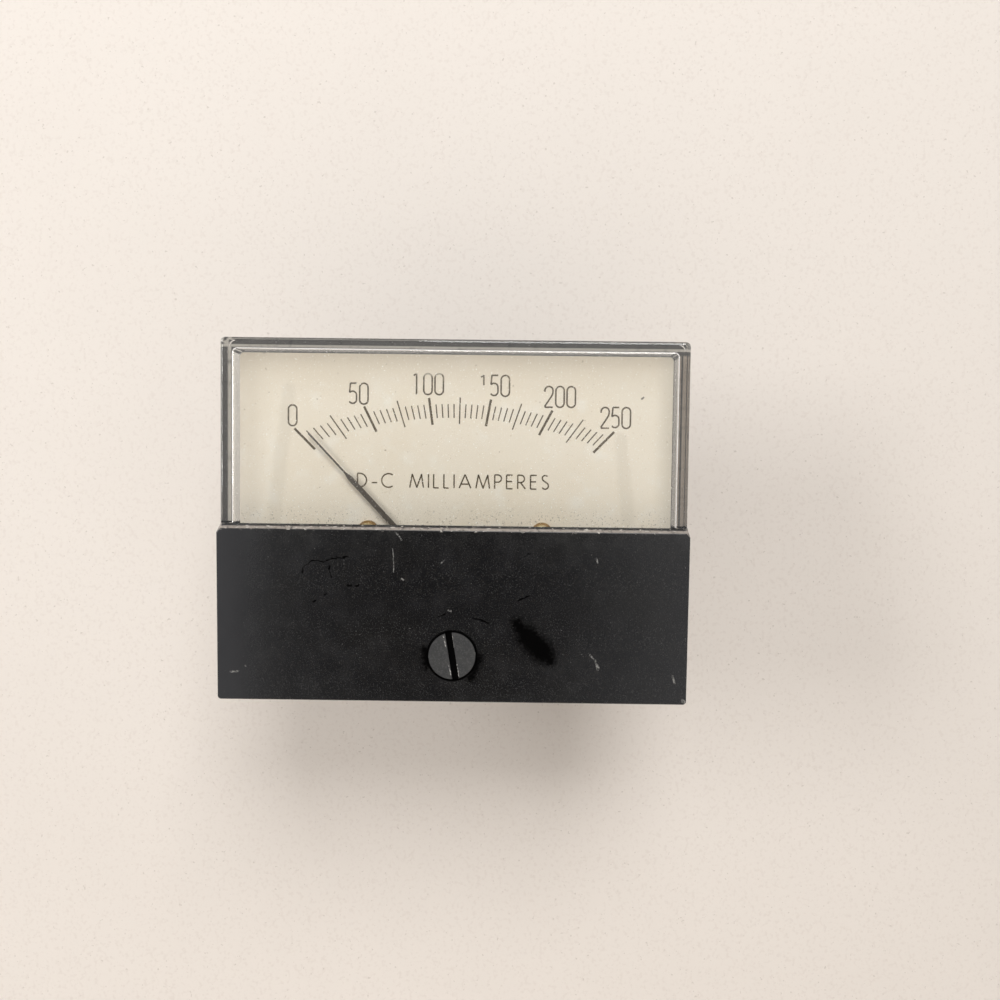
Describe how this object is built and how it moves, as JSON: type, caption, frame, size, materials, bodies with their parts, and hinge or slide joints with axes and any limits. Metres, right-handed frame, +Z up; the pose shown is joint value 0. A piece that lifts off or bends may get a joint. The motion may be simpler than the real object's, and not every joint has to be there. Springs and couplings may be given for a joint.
{
  "type": "analog panel meter",
  "caption": "Wide rectangular panel meter: clear window over a printed arc scale, black lower mask with a slotted zero adjuster, moving-coil pointer, round barrel and studs behind.",
  "frame": {"origin": "the barrel's axis where it meets the flange's back face, which seats on the panel", "axes": "+X to the reader's right along the face, +Z up, +Y backwards through the panel along the barrel, so the face looks along -Y"},
  "size_m": [0.1068, 0.0616, 0.0824],
  "materials": {
    "black_moulding": "satin black moulding, finely speckled",
    "clear_moulding": "clear polished moulding",
    "adjuster_moulding": "dull grey-black moulding",
    "dial_enamel": "cream enamel on sheet metal, printed in black",
    "pointer_black": "matte black paint on thin sheet metal",
    "brass": "turned brass, dulled",
    "bronze_spring": "rolled phosphor bronze strip",
    "copper_wire": "enamelled copper wire",
    "aluminium": "bright aluminium",
    "zinc_casting": "die-cast zinc, as cast",
    "magnet": "ground magnet alloy",
    "plated_steel": "zinc-plated steel",
    "steel": "polished steel",
    "jewel": "ruby-red synthetic jewel",
    "manganin": "resistance alloy strip"
  },
  "bodies": {
    "case": {"base_housing": "black_moulding", "core_magnet": "magnet", "core_web_lower": "zinc_casting", "core_web_upper": "zinc_casting", "dial_plate": "dial_enamel", "dial_post_left": "brass", "dial_post_right": "brass", "dial_screw_left": "brass", "dial_screw_right": "brass", "frame_screw_left": "plated_steel", "frame_screw_right": "plated_steel", "frame_screw_top": "plated_steel", "front_bridge": "brass", "front_bridge_post_left": "brass", "front_bridge_post_right": "brass", "front_bridge_screw_left": "brass", "front_bridge_screw_right": "brass", "front_jewel": "jewel", "front_jewel_screw": "brass", "front_lock_nut": "brass", "front_mask": "black_moulding", "mount_studs": "plated_steel", "movement_frame": "plated_steel", "rear_bridge": "brass", "rear_bridge_post_left": "brass", "rear_bridge_post_right": "brass", "rear_bridge_screw_left": "brass", "rear_bridge_screw_right": "brass", "rear_hairspring": "bronze_spring", "rear_jewel": "jewel", "rear_jewel_screw": "brass", "rear_lock_nut": "brass", "shunt_strip": "manganin", "stop_pin_left": "brass", "stop_pin_right": "brass", "terminal_nut_inner_left": "brass", "terminal_nut_inner_right": "brass", "terminal_nut_outer_left": "brass", "terminal_nut_outer_right": "brass", "terminal_stud_left": "brass", "terminal_stud_right": "brass", "terminal_washer_inner_left": "brass", "terminal_washer_inner_right": "brass", "terminal_washer_outer_left": "brass", "terminal_washer_outer_right": "brass", "window_cover": "clear_moulding", "yoke_ring": "plated_steel"},
    "movement": {"pointer": "pointer_black", "balance_weight_left": "brass", "balance_weight_right": "brass", "balance_weight_tail": "brass", "coil_former": "aluminium", "coil_winding": "copper_wire", "front_staff": "steel", "rear_staff": "steel"},
    "zero_lever": {"zero_lever": "brass", "front_hairspring": "bronze_spring"},
    "zero_screw": {"zero_screw": "adjuster_moulding"}
  },
  "joints": [
    {"name": "pointer_turn", "type": "hinge", "parent": "case", "child": "movement", "pos_m": [0, 0, -0.0121], "axis": [0, 1, 0], "range_deg": [-5.7, 92.3], "stiffness_Nm_per_rad": 0.00003},
    {"name": "zero_screw_turn", "type": "hinge", "parent": "case", "child": "zero_screw", "pos_m": [0, 0, -0.0261], "axis": [0, 1, 0], "range_deg": [-40, 40]},
    {"name": "zero_lever_turn", "type": "hinge", "parent": "case", "child": "zero_lever", "pos_m": [0, 0, -0.0121], "axis": [0, 1, 0], "range_deg": [-4.9, 4.9]}
  ],
  "couplings": [
    {"joint": "zero_lever_turn", "follows": "zero_screw_turn", "ratio": 0.12}
  ]
}
